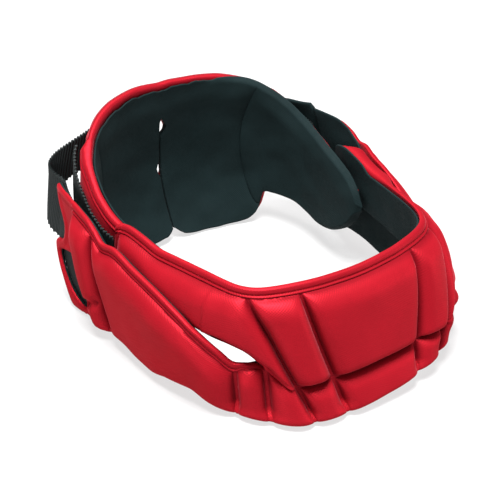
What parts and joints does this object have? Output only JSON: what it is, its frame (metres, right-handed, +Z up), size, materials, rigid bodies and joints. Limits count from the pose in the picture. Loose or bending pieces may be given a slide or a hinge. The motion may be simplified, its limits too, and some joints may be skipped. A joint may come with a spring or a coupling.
{
  "type": "soccer head guard",
  "caption": "Padded soccer head guard: an open band of moulded foam cells over the forehead and temples, a taller slit pad at the back, dark linings and elastic side straps.",
  "frame": {"origin": "middle of the guard's footprint, on the surface that it stands on", "axes": "+Z up, +X to the wearer's left, +Y to the back of the head, so the forehead faces -Y"},
  "size_m": [0.182, 0.2216, 0.0987],
  "materials": {
    "red_cloth": "fine satin knit over moulded foam",
    "black_lining": "soft dark lining",
    "black_elastic": "ribbed elastic webbing"
  },
  "bodies": {
    "root": {"front_pad": "red_cloth", "front_lining": "black_lining", "rear_pad": "red_cloth", "rear_lining": "black_lining", "strap_left": "black_elastic", "strap_right": "black_elastic", "wing_band_left": "black_elastic", "wing_band_right": "black_elastic"}
  },
  "joints": []
}
